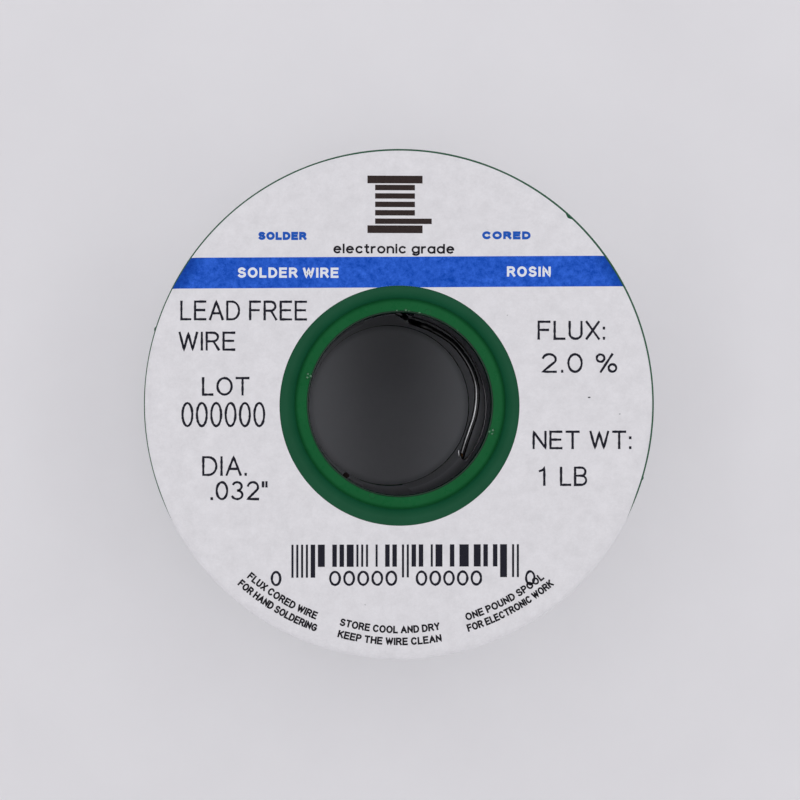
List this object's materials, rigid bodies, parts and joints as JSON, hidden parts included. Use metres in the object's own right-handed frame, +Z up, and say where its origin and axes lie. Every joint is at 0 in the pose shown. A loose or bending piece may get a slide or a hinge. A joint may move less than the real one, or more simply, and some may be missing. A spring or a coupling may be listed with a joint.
{
  "type": "solder wire spool",
  "caption": "Flanged plastic spool wound with flux-cored solder wire, with a through bore, a paper label on one flange and the wire's start tail lying in the bore.",
  "frame": {"origin": "centre of the underside of the lower flange, on the spool's axis", "axes": "+Z up along the spool's axis, +Y towards the top of the label's print, +X to the print's right"},
  "size_m": [0.0668, 0.0668, 0.0444],
  "materials": {
    "green_plastic": "satin",
    "black_plastic": "gloss",
    "label_paper": "matte",
    "solder_alloy": "satin",
    "rosin_flux": "gloss"
  },
  "bodies": {
    "spool": {"lower_flange": "green_plastic", "upper_flange": "green_plastic", "hub_tube": "black_plastic", "paper_label": "label_paper", "wound_wire": "solder_alloy"},
    "start_end": {"wire_start_tail": "solder_alloy", "start_flux_core": "rosin_flux"},
    "free_end": {"wire_free_end": "solder_alloy", "end_flux_core": "rosin_flux"}
  },
  "joints": [
    {"name": "start_tail_bend", "type": "hinge", "parent": "spool", "child": "start_end", "pos_m": [-0.0032, 0.01315, 0.04115], "axis": [0, 0, -1], "range_deg": [0, 30]},
    {"name": "free_end_bend", "type": "hinge", "parent": "spool", "child": "free_end", "pos_m": [-0.00312, -0.02969, 0.01769], "axis": [0, 0, -1], "range_deg": [0, 60]}
  ]
}
